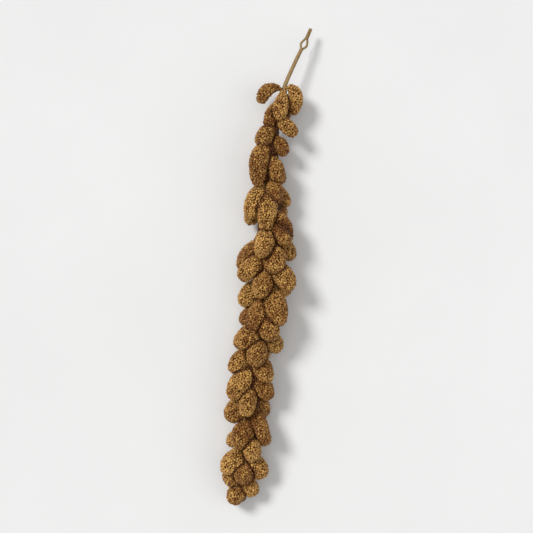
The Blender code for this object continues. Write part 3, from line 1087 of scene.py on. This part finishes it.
def floor_material(settings):
    """A pale matt floor with the faintest mottling."""
    made, tree, shader = new_material("pale_floor")
    floor = tuple(settings.floor)
    mottled = ramp(tree, noise(tree, *MOTTLE_NOISE), MIDDLING, (darkened(floor, DIM_FLOOR), floor))
    tree.links.new(mottled, shader.inputs["Base Color"])
    shader.inputs["Roughness"].default_value = FLOOR_ROUGHNESS
    return made


def add_floor(settings):
    """A wide pale floor that the head lies on."""
    half = FLOOR_SIZE / 2
    corners = np.array([(-half, -half, 0.0), (half, -half, 0.0), (half, half, 0.0), (-half, half, 0.0)])
    floor = make_mesh("floor", corners, np.array([(0, 1, 2), (0, 2, 3)]), smooth=False)
    floor.data.materials.append(floor_material(settings))


def add_light(name, place, width, power):
    """A soft light from one way, as even over the whole floor as a wide window's."""
    data = bpy.data.lights.new(name, "SUN")
    data.angle = math.radians(width)
    data.energy = power
    lamp = bpy.data.objects.new(name, data)
    lamp.location = place
    lamp.rotation_euler = (-Vector(place)).to_track_quat("-Z", "Y").to_euler()
    bpy.context.scene.collection.objects.link(lamp)


def add_camera(settings):
    """A camera straight above the head, with the stalk at the top of the picture."""
    data = bpy.data.cameras.new("camera")
    data.lens = LENS
    data.sensor_width = SENSOR
    low, high = (Vector(corner) for corner in CAD_BOX)
    middle = (low + high) / 2
    seen = (high.y - low.y) / settings.fill
    camera = bpy.data.objects.new("camera", data)
    camera.location = (middle.x, middle.y, high.z + seen * LENS / SENSOR)
    bpy.context.scene.collection.objects.link(camera)
    bpy.context.scene.camera = camera


def add_world():
    """Soft even light from all round, and a pale backdrop that only the camera sees."""
    world = bpy.data.worlds.new("studio")
    world.use_nodes = True
    tree = world.node_tree
    sky = tree.nodes["Background"]
    sky.inputs["Color"].default_value = SKY
    sky.inputs["Strength"].default_value = WORLD_LIGHT
    backdrop = tree.nodes.new("ShaderNodeBackground")
    backdrop.inputs["Color"].default_value = SKY
    backdrop.inputs["Strength"].default_value = BACKDROP_LIGHT
    seen = tree.nodes.new("ShaderNodeLightPath")
    mixed = tree.nodes.new("ShaderNodeMixShader")
    tree.links.new(seen.outputs["Is Camera Ray"], mixed.inputs["Fac"])
    tree.links.new(sky.outputs["Background"], mixed.inputs[1])
    tree.links.new(backdrop.outputs["Background"], mixed.inputs[2])
    tree.links.new(mixed.outputs["Shader"], tree.nodes["World Output"].inputs["Surface"])
    bpy.context.scene.world = world


class MILLET_OT_stage(bpy.types.Operator):
    """Add the pale floor, the soft lights and the camera above the head"""

    bl_idname = "millet.stage"
    bl_label = "Stage"

    def execute(self, context):
        settings = context.scene.millet_stage
        add_floor(settings)
        for light in LIGHTS:
            add_light(*light)
        add_world()
        add_camera(settings)
        context.scene.view_settings.view_transform = "Standard"
        return {"FINISHED"}


class MILLET_OT_stalk(bpy.types.Operator):
    """Add the bare straw stalk with its split and its torn cut end"""

    bl_idname = "millet.stalk"
    bl_label = "Stalk"

    def execute(self, context):
        add_stalk(context.scene.millet)
        return {"FINISHED"}


class MILLET_OT_rachis(bpy.types.Operator):
    """Add the rachis and the crowded stems inside the head"""

    bl_idname = "millet.rachis"
    bl_label = "Rachis"

    def execute(self, context):
        add_rachis(context.scene.millet)
        add_side_stems(context.scene.millet)
        return {"FINISHED"}


class MILLET_OT_husks(bpy.types.Operator):
    """Add the dark husks that the grains sit in"""

    bl_idname = "millet.husks"
    bl_label = "Husks"

    def execute(self, context):
        add_husks(context.scene.millet)
        return {"FINISHED"}


class MILLET_OT_grains(bpy.types.Operator):
    """Add every grain of the head"""

    bl_idname = "millet.grains"
    bl_label = "Grains"

    def execute(self, context):
        add_grains(context.scene.millet)
        return {"FINISHED"}


OPERATORS = (MILLET_OT_stage, MILLET_OT_stalk, MILLET_OT_rachis, MILLET_OT_husks, MILLET_OT_grains)


class MILLET_PT_panel(bpy.types.Panel):
    """The pieces of the millet head, in the order in which they are made"""

    bl_idname = "MILLET_PT_panel"
    bl_label = "Millet seed head"
    bl_space_type = "VIEW_3D"
    bl_region_type = "UI"
    bl_category = "Millet"

    def draw(self, context):
        for operator in OPERATORS:
            self.layout.operator(operator.bl_idname)
        for group in (context.scene.millet, context.scene.millet_stage):
            for name in group.__annotations__:
                self.layout.prop(group, name)


CLASSES = (MilletSettings, StageSettings, *OPERATORS, MILLET_PT_panel)


def register():
    """Makes the panel, its operators and the settings known."""
    for made in CLASSES:
        bpy.utils.register_class(made)
    bpy.types.Scene.millet = bpy.props.PointerProperty(type=MilletSettings)
    bpy.types.Scene.millet_stage = bpy.props.PointerProperty(type=StageSettings)


def unregister():
    """Takes them away again."""
    del bpy.types.Scene.millet_stage
    del bpy.types.Scene.millet
    for made in reversed(CLASSES):
        bpy.utils.unregister_class(made)


def main():
    """Makes every piece."""
    register()
    for operator in OPERATORS:
        group, name = operator.bl_idname.split(".")
        getattr(getattr(bpy.ops, group), name)()


if __name__ == "__main__":
    main()
